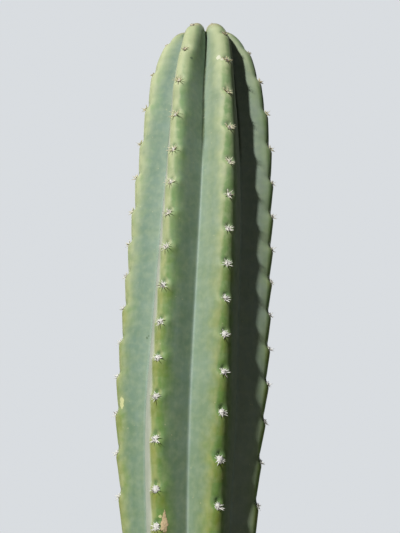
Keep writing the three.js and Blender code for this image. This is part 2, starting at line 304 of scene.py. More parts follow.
class CactusStage(bpy.types.PropertyGroup):
    camera_place: FloatVectorProperty(
        name="Camera", description="Place of the camera", default=(0.015, -0.644, 1.510), unit="LENGTH"
    )
    camera_tilt: angle_property("Camera tilt", "How far it looks up", 13.6)
    camera_lens: number_property("Lens", "Focal length in millimetres", 54.03)
    key_turn: angle_property("Key turn", "Key light, left of the front", 36)
    key_rise: angle_property("Key rise", "Key light above the level", 30)
    key_spread: angle_property("Key spread", "Width of the key light's beam", 80)
    key_size: length_property("Key size", "Width of the key light", 0.25)
    key_power: number_property("Key power", "Key light's power in watts", 45)
    fill_power: number_property("Fill power", "Fill light's power in watts", 40)
    back_power: number_property("Back power", "Power of the light behind", 110)
    air: colour_property("Air", "Colour of the pale surroundings", 232, 236, 240)
    air_light: number_property("Air light", "How much the surroundings shine", 0.035)
    air_seen: number_property("Air seen", "How bright they look", 0.86)
    floor: colour_property("Floor", "Colour of the floor", 216, 214, 208)
    floor_radius: length_property("Floor radius", "Radius of the round floor", 3.5)


class Field:
    """A value in a node tree. Arithmetic on it adds Math nodes to the tree."""

    def __init__(self, tree, socket):
        self.tree = tree
        self.socket = socket

    def maths(self, operation, *others):
        return add(self.tree, "ShaderNodeMath", (self, *others), operation=operation)

    def at_least(self, other):
        return self.maths("MAXIMUM", other)

    def at_most(self, other):
        return self.maths("MINIMUM", other)

    def sine(self):
        return self.maths("SINE")

    def cosine(self):
        return self.maths("COSINE")

    def __add__(self, other):
        return self.maths("ADD", other)

    def __sub__(self, other):
        return self.maths("SUBTRACT", other)

    def __mul__(self, other):
        return self.maths("MULTIPLY", other)

    def __truediv__(self, other):
        return self.maths("DIVIDE", other)

    def __pow__(self, other):
        return self.maths("POWER", other)

    def __neg__(self):
        return self * -1

    def __rsub__(self, other):
        return -self + other

    def __rmul__(self, other):
        return self * other

    def parts(self):
        """The three numbers of a vector."""
        split = self.tree.nodes.new("ShaderNodeSeparateXYZ")
        self.tree.links.new(self.socket, split.inputs[0])
        return [Field(self.tree, output) for output in split.outputs]

    def smooth(self, low, high, start=0, end=1):
        """start below low, end above high, and a smooth passage between."""
        values = (self, low, high, start, end)
        return add(self.tree, "ShaderNodeMapRange", values, interpolation_type="SMOOTHSTEP")

    def ladder(self, rungs):
        """A value that passes smoothly from each rung of a ladder to the next."""
        value = rungs[0][1]
        for (foot, last), (top, following) in zip(rungs, rungs[1:]):
            value = self.smooth(foot, top, 0, following - last) + value
        return value

    def mix(self, first, second):
        """The first value where this field is 0 and the second where it is 1."""
        return (second - first) * self + first

    def blend(self, first, second):
        """The first colour where this field is 0 and the second where it is 1."""
        return add(self.tree, "ShaderNodeMix", {"Factor": self, "A": first, "B": second}, data_type="RGBA")


def feed(tree, socket, value):
    """Links a field to a socket, or sets a plain value on it."""
    if isinstance(value, Field):
        tree.links.new(value.socket, socket)
    elif socket.type == "RGBA":
        socket.default_value = (*value, 1)
    else:
        socket.default_value = value


def add(tree, kind, values=(), output=0, **settings):
    """Adds a node. Values go to its enabled sockets in order, or by name where they are a dict."""
    node = tree.nodes.new(kind)
    for name, setting in settings.items():
        setattr(node, name, setting)
    sockets = [socket for socket in node.inputs if socket.enabled]
    if isinstance(values, dict):
        pairs = [(next(s for s in sockets if s.name == name), value) for name, value in values.items()]
    else:
        pairs = zip(sockets, values)
    for socket, value in pairs:
        feed(tree, socket, value)
    outputs = [socket for socket in node.outputs if socket.enabled]
    found = outputs[output] if isinstance(output, int) else next(s for s in outputs if s.name == output)
    return Field(tree, found)


def pick(tree, number, choices):
    """The choice that a whole number points at, from a list of plain values."""
    node = tree.nodes.new("GeometryNodeIndexSwitch")
    node.data_type = "FLOAT"
    while len(node.index_switch_items) < len(choices):
        node.index_switch_items.new()
    feed(tree, node.inputs[0], number)
    for socket, choice in zip(node.inputs[1:], choices):
        feed(tree, socket, choice)
    return Field(tree, node.outputs[0])


def pick_ladder(tree, rib, height, ladders):
    """A rib's own ladder at a height, and 0 for a rib that has none."""
    ribs = range(len(RIB_SPACING))
    return pick(tree, rib, [height.ladder(ladders[each]) if each in ladders else 0 for each in ribs])


def vector(tree, x=0, y=0, z=0):
    return add(tree, "ShaderNodeCombineXYZ", (x, y, z))


def vector_maths(tree, operation, *values):
    return add(tree, "ShaderNodeVectorMath", values, operation=operation)


def vector_sum(tree, total, *others):
    for other in others:
        total = vector_maths(tree, "ADD", total, other)
    return total


def scaled(tree, direction, length):
    return vector_maths(tree, "SCALE", direction, length)


def noise(tree, place, scale, detail=2.0, output=0):
    values = {"Vector": place, "Scale": scale, "Detail": detail}
    return add(tree, "ShaderNodeTexNoise", values, output=output)


def moved(tree, geometry, place):
    """A geometry with each of its points at a place of its own."""
    return add(tree, "GeometryNodeSetPosition", {"Geometry": geometry, "Position": place})


def turned(tree, way, side, axis="X"):
    """The rotation that turns a shape's Z axis along a way, and another of its axes to a side."""
    return add(tree, "FunctionNodeAxesToRotation", (way, side), primary_axis="Z", secondary_axis=axis)


SOCKETS = {float: "NodeSocketFloat", int: "NodeSocketInt", tuple: "NodeSocketVector"}


def new_tree(name, inputs, outputs=None, kind="GeometryNodeTree"):
    """A tree with named inputs, and its inputs as fields. With no outputs named it puts out geometry."""
    tree = bpy.data.node_groups.new(name, kind)
    for label, value in inputs.items():
        socket = tree.interface.new_socket(label, in_out="INPUT", socket_type=SOCKETS[type(value)])
        socket.default_value = value
    for label, form in (outputs or {"Geometry": None}).items():
        socket_type = SOCKETS.get(form, "NodeSocketGeometry")
        tree.interface.new_socket(label, in_out="OUTPUT", socket_type=socket_type)
    group_input = tree.nodes.new("NodeGroupInput")
    fields = [Field(tree, socket) for socket in group_input.outputs if socket.name]
    return tree, *fields


def put_out(tree, *values):
    group_output = tree.nodes.new("NodeGroupOutput")
    for socket, value in zip(group_output.inputs, values):
        feed(tree, socket, value)


def use_group(tree, group, values):
    """Places a node group in a tree, and gives its outputs as fields."""
    node = tree.nodes.new(tree.bl_idname.replace("Tree", "Group"))
    node.node_tree = group
    for name, value in values.items():
        feed(tree, node.inputs[name], value)
    return {output.name: Field(tree, output) for output in node.outputs if output.name}


def areole_count(tree, level, rib):
    """Areoles counted down from the tip to a level on a rib's crest."""
    drift = ((level - DRIFT_REST) * (math.tau / DRIFT_SEASON)).sine() * AREOLE_DRIFT
    crowding = level.smooth(TIP_CROWDING_FROM, TIP_CROWDING_TO, 0, TIP_CROWDING)
    stray = pick_ladder(tree, rib, level, RIB_STRAY)
    return (AREOLE_TOP - level) / AREOLE_PITCH - drift - crowding - pick(tree, rib, RIB_COUNT_OFFSET) + stray


def crest_line(tree):
    """The line of a crest in the plane of its rib, as a curve: x is the distance from the axis."""
    line = add(tree, "GeometryNodeCurvePrimitiveLine")
    dense = add(tree, "GeometryNodeResampleCurve", {"Curve": line, "Count": CREST_SAMPLES})
    along = add(tree, "GeometryNodeInputIndex") * ((COLUMN_TOP + 2 * TIP_DEPTH) / (CREST_SAMPLES - 1))
    turn = ((along - COLUMN_TOP) / (2 * TIP_DEPTH)).at_least(0).at_most(1) * (math.pi / 2)
    radius = along.ladder(GIRTH) * turn.cosine().at_least(0) ** (2 / TIP_SHOULDER)
    rise = turn.sine() ** (2 / TIP_CROWN) * TIP_DEPTH
    eye = (1 - radius / EYE_RADIUS).at_least(0) ** 2 * EYE_DEPTH
    place = vector(tree, radius, 0, along.at_most(COLUMN_TOP) + rise - eye)
    return moved(tree, dense, place)


def surface_group(sizes):
    """The group that finds a place on the stem from its level, its rib and how far across it lies."""
    inputs = {
        "Level": 0.0,
        "Rib": 0,
        "Across": 0.0,
        "Scallop": sizes.scallop,
        "Notch": sizes.notch_share,
        "Reach": sizes.scallop_reach,
        "Chevron": sizes.chevron,
        "Groove rounding": sizes.groove_rounding,
        "Flank crown": sizes.flank_crown,
        "Unevenness": sizes.unevenness,
    }
    places = ("Position", "Centre", "Outward", "Uphill")
    numbers = ("From crest", "From groove", "Tint", "Wax", "Above", "Length")
    outputs = dict.fromkeys(places, tuple) | dict.fromkeys(numbers, float)
    tree, level, rib, across, *fields = new_tree("stem_surface", inputs, outputs)
    scallop, notch, reach, chevron, rounding, crown, uneven = fields
    line = crest_line(tree)
    length = add(tree, "GeometryNodeCurveLength", (line,))
    sample = tree.nodes.new("GeometryNodeSampleCurve")
    sample.mode = "LENGTH"
    feed(tree, sample.inputs["Curves"], line)
    feed(tree, sample.inputs["Length"], level.at_most(length))
    radius, _, height = Field(tree, sample.outputs["Position"]).parts()
    up_x, _, up_z = Field(tree, sample.outputs["Tangent"]).parts()
    out_x, out_z = up_z, -up_x

    rounded = height.ladder(CREST_ROUND).at_most(radius * CREST_ROUND_SHARE)
    tip_share = (radius / TIP_RADIUS).at_most(1)
    right = across.maths("GREATER_THAN", 0)
    sway = height.smooth(SWAY_TO, SWAY_FROM, 1, 0)
    half = right.mix(pick(tree, rib, TO_LEFT_GROOVE), pick(tree, rib, TO_RIGHT_GROOVE))
    half_sway = right.mix(pick(tree, rib, SWAY_TO_LEFT_GROOVE), pick(tree, rib, SWAY_TO_RIGHT_GROOVE))
    half = (half + sway * half_sway) * math.radians(1)
    groove_radius = radius * height.ladder(GROOVE_SHARE)
    groove_x = groove_radius * half.cosine() - radius + out_x * rounded
    groove_z = out_z * rounded - tip_share * (1 - tip_share) * (4 * CLEFT_DEPTH)
    groove_out = groove_x * out_x + groove_z * out_z
    groove_up = groove_x * up_x + groove_z * up_z
    groove_side = groove_radius * half.sine()

    # The crest is an arc about its centre. It ends short of the angle at which a straight flank would
    # leave it, so the flank that goes on from there to the groove is arched.
    reach_out = (groove_out * groove_out + groove_side * groove_side).maths("SQRT")
    leave = groove_side.maths("ARCTAN2", groove_out) - (rounded / reach_out).at_most(1).maths("ARCCOSINE")
    leave = leave - crown
    leave_out, leave_side = leave.cosine(), leave.sine()
    spread = across.maths("ABSOLUTE")
    turn = leave * (spread / CREST_COLUMNS).at_most(1)
    on_flank = ((spread - CREST_COLUMNS) / (1 - CREST_COLUMNS)).at_least(0)
    down = 1 - (1 - on_flank).at_least(0) ** GROOVE_CROWDING
    turn_out, turn_side = turn.cosine(), turn.sine()
    flank_out = groove_out - rounded * leave_out
    flank_side = groove_side - rounded * leave_side
    flank = (flank_out * flank_out + flank_side * flank_side + groove_up * groove_up).maths("SQRT")
    from_crest = rounded * turn + flank * down
    from_groove = rounded * (leave - turn) + flank * (1 - down)
    handle = flank * FLANK_HANDLE
    pull = down * (1 - down) * 2 * handle
    deep = down * down

    above = -areole_count(tree, level - from_crest * chevron, rib)
    phase = (above + notch * 0.5).maths("FRACT")
    fall = phase.smooth(0, notch)
    swelling = ((phase - notch) / (1 - notch)).at_least(0)
    grown = level.smooth(SCALLOP_FROM, SCALLOP_TO)
    fade = from_crest.smooth(0, reach.at_most(from_crest + from_groove), 1, 0)
    relief = scallop * grown * tip_share * fade * (0.5 - fall + swelling)
    beat = -areole_count(tree, level, rib)
    higher = (beat - beat.maths("ROUND")) * AREOLE_PITCH - sizes.pit_height
    loss = pick_ladder(tree, rib, height, RIB_LOSS)
    relief = relief - loss * from_crest.smooth(*LOSS_FADE, 1, 0)
    pit_distance = (higher * higher + from_crest * from_crest) / (sizes.pit_reach**2)
    relief = relief - (-pit_distance).maths("EXPONENT") * sizes.pit * grown * tip_share

    # A groove's bed is rounded by a parabola that leaves both walls along their own slope.
    wall_out = flank_out + leave_side * handle
    wall_side = flank_side - leave_out * handle
    wall = (wall_out * wall_out + wall_side * wall_side).maths("SQRT")
    steep = -(wall_out * half.cosine() + wall_side * half.sine()) / wall
    rounding = rounding * tip_share * height.smooth(*BED_NARROWS)
    bed = (rounding - wall * 2 * (1 - down)).at_least(0)
    bed = bed * bed * steep / (rounding * 2).at_least(NEXT_TO_NOTHING)
    side = across.maths("SIGN")
    rib_turn = pick(tree, rib, [math.radians(turn - 90) for turn in RIB_TURNS])
    twist = rib_turn + (1 - height / HEIGHT) * math.radians(GROUND_TWIST)
    twist = twist + sway * pick(tree, rib, RIB_SWAY) * math.radians(1)
    twist = twist + height.smooth(TIP_TWIST_FROM, HEIGHT, 0, math.radians(TIP_TWIST))
    bow = (height * (math.pi / HEIGHT)).sine() * -BOW
    axis = vector(tree, height.ladder(AXIS_RIGHT), bow, 0)

    def placed(x, y, z):
        """Turns a place in the rib's own plane round to where the rib stands."""
        flat = vector(tree, x, y, z)
        values = {"Vector": flat, "Center": (0, 0, 0), "Axis": (0, 0, 1), "Angle": twist}
        return add(tree, "ShaderNodeVectorRotate", values)

    def on_skin(relief):
        """The place on the skin, where the crest's arc stands out by a relief."""
        out = (rounded + relief) * turn_out - pull * leave_side + flank_out * deep
        sideways = (rounded + relief) * turn_side + pull * leave_out + flank_side * deep
        out = out + bed * half.cosine()
        sideways = (sideways + bed * half.sine()) * side
        up = groove_up * deep
        x = radius - out_x * rounded + out_x * out + up_x * up
        z = height - out_z * rounded + out_z * out + up_z * up
        return vector_sum(tree, placed(x, sideways, z), axis)

    smooth_skin = on_skin(relief)
    wander = noise(tree, smooth_skin, sizes.unevenness_scale, 3.0) - 0.5
    calm = from_groove.smooth(0, GROOVE_FADE) * grown * tip_share
    put_out(
        tree,
        on_skin(relief + wander * uneven * calm),
        vector_sum(tree, vector(tree, 0, 0, height), axis),
        placed(out_x, 0, out_z),
        placed(up_x, 0, up_z),
        from_crest,
        from_groove,
        pick(tree, rib, RIB_TINT) * (from_groove / GROOVE_FADE).at_most(1),
        # wax on the left flank, which also carries painted sheen
        pick(tree, rib, RIB_WAX_AND_SHEEN) * (-across).smooth(*WAX_SHEEN_FROM_CREST) * from_groove.smooth(*WAX_SHEEN_TO_GROOVE),
        beat,
        length,
    )
    return tree


def store(tree, geometry, name, value, kind="FLOAT", domain="POINT"):
    values = {"Geometry": geometry, "Name": name, "Value": value}
    return add(tree, "GeometryNodeStoreNamedAttribute", values, data_type=kind, domain=domain)


def finished(tree, geometry, material):
    """Ends a tree: instances made real, smooth faces and the material."""
    real = add(tree, "GeometryNodeRealizeInstances", (geometry,))
    smooth = add(tree, "GeometryNodeSetShadeSmooth", (real, True, True), domain="FACE")
    put_out(tree, add(tree, "GeometryNodeSetMaterial", {"Geometry": smooth, "Material": material}))


def stem_tree(surface, sizes, material):
    """Rings of points from one level to another, closed at both ends."""
    inputs = {"From": 0.0, "To": SEAM, "Rings": sizes.lower_rings, "Columns": sizes.rib_columns}
    tree, start, end, rings, columns = new_tree("stem_skin", inputs)
    ribs = len(RIB_SPACING)
    mesh = add(tree, "GeometryNodeMeshGrid", (1, 1, columns * ribs + 1, rings + 2))
    u, v, _ = add(tree, "GeometryNodeInputPosition").parts()
    turn = (u + 0.5) * ribs
    rib = turn.maths("FLOOR").at_most(ribs - 1)
    across = (turn - rib) * 2 - 1
    row = (v + 0.5) * (rings + 1)
    ring = (row - 1).at_least(0).at_most(rings - 1)
    top = use_group(tree, surface, {})["Length"].at_most(end)
    level = start + (top - start) * ring / (rings - 1)
    cap = (row - ring - 1).maths("ABSOLUTE").maths("GREATER_THAN", 0.5)
    skin = use_group(tree, surface, {"Level": level, "Rib": rib, "Across": across})
    choice = {"Factor": cap, "A": skin["Position"], "B": skin["Centre"]}
    place = add(tree, "ShaderNodeMix", choice, data_type="VECTOR")
    beat = skin["Above"] * math.tau
    for name in ("From crest", "From groove", "Tint", "Wax"):
        mesh = store(tree, mesh, name.lower().replace(" ", "_"), skin[name])
    mesh = store(tree, mesh, "beat_along", beat.cosine())
    mesh = store(tree, mesh, "beat_across", beat.sine())
    mesh = moved(tree, mesh, place)
    mesh = add(tree, "GeometryNodeMergeByDistance", {"Geometry": mesh, "Distance": NEXT_TO_NOTHING})
    # Crests are paler where they face this side and greener away from it: sun bleaching with painted light
    # and shade.
    lit_side = (math.sin(math.radians(LIT_SIDE_TURN)), -math.cos(math.radians(LIT_SIDE_TURN)), 0)
    normal = add(tree, "GeometryNodeInputNormal")
    mesh = store(tree, mesh, "lit_and_bleached", vector_maths(tree, "DOT_PRODUCT", normal, lit_side))
    sharp = add(tree, "GeometryNodeInputMeshEdgeAngle").maths("GREATER_THAN", SHARP_EDGE)
    finished(tree, add(tree, "GeometryNodeSetShadeSmooth", (mesh, sharp, False), domain="EDGE"), material)
    return tree


def plain_mesh(name, tree, values):
    """Runs a tree on an empty mesh and keeps the result as a plain mesh at the origin."""
    maker = bpy.data.objects.new(name, bpy.data.meshes.new(name))
    bpy.context.collection.objects.link(maker)
    modifier = maker.modifiers.new("growth", "NODES")
    modifier.node_group = tree
    for item in tree.interface.items_tree:
        if item.name in values:
            modifier[item.identifier] = values[item.name]
    grown = maker.evaluated_get(bpy.context.evaluated_depsgraph_get())
    mesh = bpy.data.meshes.new_from_object(grown)
    maker.modifiers.remove(modifier)
    if not mesh.polygons:
        raise RuntimeError(f"{name} has no faces")
    maker.data = mesh
    mesh.name = name
    return maker


def random_field(tree, low, high, seed):
    return add(tree, "FunctionNodeRandomValue", {"Min": low, "Max": high, "Seed": seed}, data_type="FLOAT")


def areole_points(tree, surface, sizes, each):
    """Points for what grows on the areoles, so many on each, and a dict of what is known at each point."""
    number = add(tree, "GeometryNodeInputIndex")
    areole = (number / each + A_TOUCH).maths("FLOOR")
    rib = (areole / TIERS + A_TOUCH).maths("FLOOR")
    tier = areole - rib * TIERS
    length = use_group(tree, surface, {})["Length"]
    first = areole_count(tree, length - APEX_MARGIN, rib).maths("CEIL")
    level = tier * -AREOLE_PITCH + AREOLE_TOP
    for _ in range(SOLVER_PASSES):
        level = level + (areole_count(tree, level, rib) - first - tier) * AREOLE_PITCH
    skin = use_group(tree, surface, {"Level": level, "Rib": rib})
    lean_out, lean_up = math.cos(sizes.tilt), math.sin(sizes.tilt)
    out, up = skin["Outward"], skin["Uphill"]
    facing = vector_sum(tree, scaled(tree, out, lean_out), scaled(tree, up, lean_up))
    uphill = vector_sum(tree, scaled(tree, up, lean_out), scaled(tree, out, -lean_up))
    count = each * (TIERS * len(RIB_SPACING))
    known = {
        "item": number - areole * each,
        "age": tier / GROWN_TIER,
        "size": pick(tree, rib, RIB_AREOLE_SIZE),
        "grows": level.maths("GREATER_THAN", LOWEST_AREOLE),
        "seat": skin["Position"],
        "facing": facing,
        "uphill": uphill,
        "sideways": vector_maths(tree, "CROSS_PRODUCT", uphill, facing),
    }
    return add(tree, "GeometryNodePoints", {"Count": count}), known


def from_frame(tree, known, x, y, z):
    """A direction given sideways, uphill and outwards from an areole."""
    axes = [(known["sideways"], x), (known["uphill"], y), (known["facing"], z)]
    return vector_sum(tree, *[scaled(tree, axis, share) for axis, share in axes])


def rooted(tree, sizes, known, x, y, spread, out):
    """A place on an areole's cushion, from shares of its spread sideways and uphill and a way out."""
    half_width, half_height = sizes.cushion_width * spread, sizes.cushion_height * spread
    root = from_frame(tree, known, x * half_width, y * half_height, out)
    return vector_sum(tree, known["seat"], scaled(tree, root, known["size"]))


def grow(tree, points, known, places, rotation, scale, shape):
    """Stands a shape on every point that grows, and gives it the age of its areole."""
    values = {
        "Points": store(tree, moved(tree, points, places), "age", known["age"]),
        "Selection": known["grows"],
        "Instance": shape,
        "Rotation": rotation,
        "Scale": scale,
    }
    return add(tree, "GeometryNodeInstanceOnPoints", values)


def needle(tree, thickness, length, bend, sides, segments):
    """A slightly curved, closed, tapering needle on the origin, with its share of the way to the point."""
    values = {
        "Vertices": sides,
        "Side Segments": segments,
        "Radius Top": 0.0,
        "Radius Bottom": thickness / 2,
        "Depth": length,
    }
    cone = add(tree, "GeometryNodeMeshCone", values)
    x, y, z = add(tree, "GeometryNodeInputPosition").parts()
    share = z / length
    risen = share.at_least(0) ** NEEDLE_CROWDING
    fuller = (1 - risen).at_least(0) ** NEEDLE_TAPER / (1 - share).at_least(A_TOUCH)
    place = vector(tree, x * fuller + risen * risen * bend, y * fuller, risen * length)
    return store(tree, moved(tree, cone, place), "along", share)


def felt_tree(surface, sizes, material):
    """The cushion of felt in every areole: a lumpy closed dome."""
    inputs = {"Width": sizes.cushion_width, "Height": sizes.cushion_height, "Proud": sizes.cushion_proud}
    tree, width, height, proud = new_tree("areole_felt", inputs)
    points, known = areole_points(tree, surface, sizes, 1)
    ball = add(tree, "GeometryNodeMeshIcoSphere", {"Radius": 1.0, "Subdivisions": 2})
    rotation = turned(tree, known["facing"], known["uphill"], "Y")
    size = known["age"].smooth(*CUSHION_GROWTH) * known["size"] * random_field(tree, 0.88, 1.12, 3)
    scale = vector(tree, width * size * 0.5, height * size * 0.5, proud * size)
    grown = grow(tree, points, known, known["seat"], rotation, scale, ball)
    real = add(tree, "GeometryNodeRealizeInstances", (grown,))
    lumps = noise(tree, add(tree, "GeometryNodeInputPosition"), LUMPS_IN_A_METRE, output="Color")
    shift = vector_maths(tree, "SUBTRACT", lumps, (0.5, 0.5, 0.5))
    values = {"Geometry": real, "Offset": scaled(tree, shift, LUMP_DEPTH)}
    finished(tree, add(tree, "GeometryNodeSetPosition", values), material)
    return tree


def wool_tree(surface, sizes, material):
    """Short curved hairs that stand all over the felt."""
    inputs = {"Hairs": sizes.hairs, "Length": sizes.hair_length, "Thickness": sizes.hair_thickness}
    tree, hairs, length, thickness = new_tree("areole_wool", inputs)
    points, known = areole_points(tree, surface, sizes, hairs)
    hair = needle(tree, thickness, length, length * 0.25, 3, 2)
    turn = random_field(tree, 0.0, math.tau, 5)
    lean = random_field(tree, 0.0, 1.0, 6) ** HAIR_CROWDING * HAIR_LEAN
    x = lean.sine() * turn.cosine()
    y = lean.sine() * turn.sine()
    z = lean.cosine()
    place = rooted(tree, sizes, known, x, y, HAIR_SPREAD, z * (sizes.cushion_proud * HAIR_SEAT))
    way = from_frame(tree, known, x, y - 0.25, z + 0.2)
    twist = vector(tree, turn.sine(), lean, turn.cosine())
    rotation = turned(tree, way, twist)
    size = random_field(tree, 0.6, 1.3, 7) * known["age"].smooth(*HAIR_GROWTH) * known["size"]
    finished(tree, grow(tree, points, known, place, rotation, vector(tree, 1, 1, size), hair), material)
    return tree


def spine_tree(surface, sizes, material):
    """Each areole's star of needles, longest below, with one that stands out of its middle."""
    inputs = {"Spines": sizes.spines, "Length": sizes.spine_length, "Thickness": sizes.spine_thickness}
    tree, spines, length, thickness = new_tree("areole_spines", inputs)
    points, known = areole_points(tree, surface, sizes, spines)
    spine = needle(tree, thickness, length, length * 0.12, 5, 4)
    item = known["item"]
    central = item.maths("LESS_THAN", 0.5)
    star = (item - 0.5) / (spines - 1) * math.tau + random_field(tree, -0.3, 0.3, 11)
    down = star.cosine() * 0.5 + 0.5
    old = known["age"].smooth(*SPINES_AGE)
    leant = down.mix(*SPINE_LEAN) + random_field(tree, -0.28, 0.22, 12)
    lean = central.mix(leant, random_field(tree, 0.1, 0.6, 13))
    x = lean.sine() * star.sine()
    y = lean.sine() * star.cosine() * -1
    z = lean.cosine()
    way = from_frame(tree, known, x, y, z)
    place = rooted(tree, sizes, known, x, y, SPINE_SPREAD, sizes.cushion_proud * SPINE_SEAT)
    twist = vector(tree, star.sine(), random_field(tree, -1.0, 1.0, 14), star.cosine())
    rotation = turned(tree, way, twist)
    share = down.mix(old.mix(*UPPER_SPINES), old.mix(*LOWER_SPINES)) * random_field(tree, 0.7, 1.15, 15)
    share = central.mix(share, random_field(tree, 0.6, 1.1, 16)) * known["size"]
    share = share * known["age"].smooth(*SPINE_GROWTH)
    stout = random_field(tree, 0.8, 1.15, 17)
    grown = grow(tree, points, known, place, rotation, vector(tree, stout, stout, share), spine)
    finished(tree, store(tree, grown, "dice", random_field(tree, 0.0, 1.0, 18), domain="INSTANCE"), material)
    return tree


def new_material(name, settings):
    """A material, its tree and its Principled shader, with the settings that are the same all over it."""
    material = bpy.data.materials.new(name)
    material.use_nodes = True
    shader = material.node_tree.nodes["Principled BSDF"]
    for label, value in settings.items():
        shader.inputs[label].default_value = value
    return material, material.node_tree, shader


def attribute(tree, name):
    return add(tree, "ShaderNodeAttribute", output="Fac", attribute_name=name)


def object_place(tree):
    return add(tree, "ShaderNodeTexCoord", output="Object")


def bump(tree, shader, height, distance):
    """Feeds a height in shares of a distance to the shader's normal."""
    values = {"Strength": 1.0, "Distance": distance, "Height": height}
    feed(tree, shader.inputs["Normal"], add(tree, "ShaderNodeBump", values))


def mottle_group():
    """Soft blotches as a mask: how many to the metre, how much they cover and how softly they end."""
    inputs = {"Place": (0.0, 0.0, 0.0), "Scale": 10.0, "Detail": 3.0, "Cover": 0.5, "Softness": 0.2}
    mask = {"Mask": float}
    tree, place, scale, detail, cover, softness = new_tree("mottle", inputs, mask, "ShaderNodeTree")
    cloud = noise(tree, place, scale, detail)
    put_out(tree, cloud.smooth(1 - cover - softness, 1 - cover + softness))
    return tree


def blotchy(tree, mottle, place, scale, cover, softness):
    """The mottle group's mask on a place."""
    values = {"Place": place, "Scale": scale, "Cover": cover, "Softness": softness}
    return use_group(tree, mottle, values)["Mask"]


def scar(tree, place, middle, size, taper=0.0):
    """A mask of a patch with a ragged edge: its middle, its half sizes and how pointed it is on top."""
    away = vector_maths(tree, "DIVIDE", vector_maths(tree, "SUBTRACT", place, middle), size)
    x, y, z = away.parts()
    away = vector(tree, x / (1 - z * taper).at_least(0.1), y, z)
    ragged = (noise(tree, place, 700.0) - 0.5) * 1.2
    return (vector_maths(tree, "LENGTH", away) + ragged).smooth(0.85, 1, 1, 0)


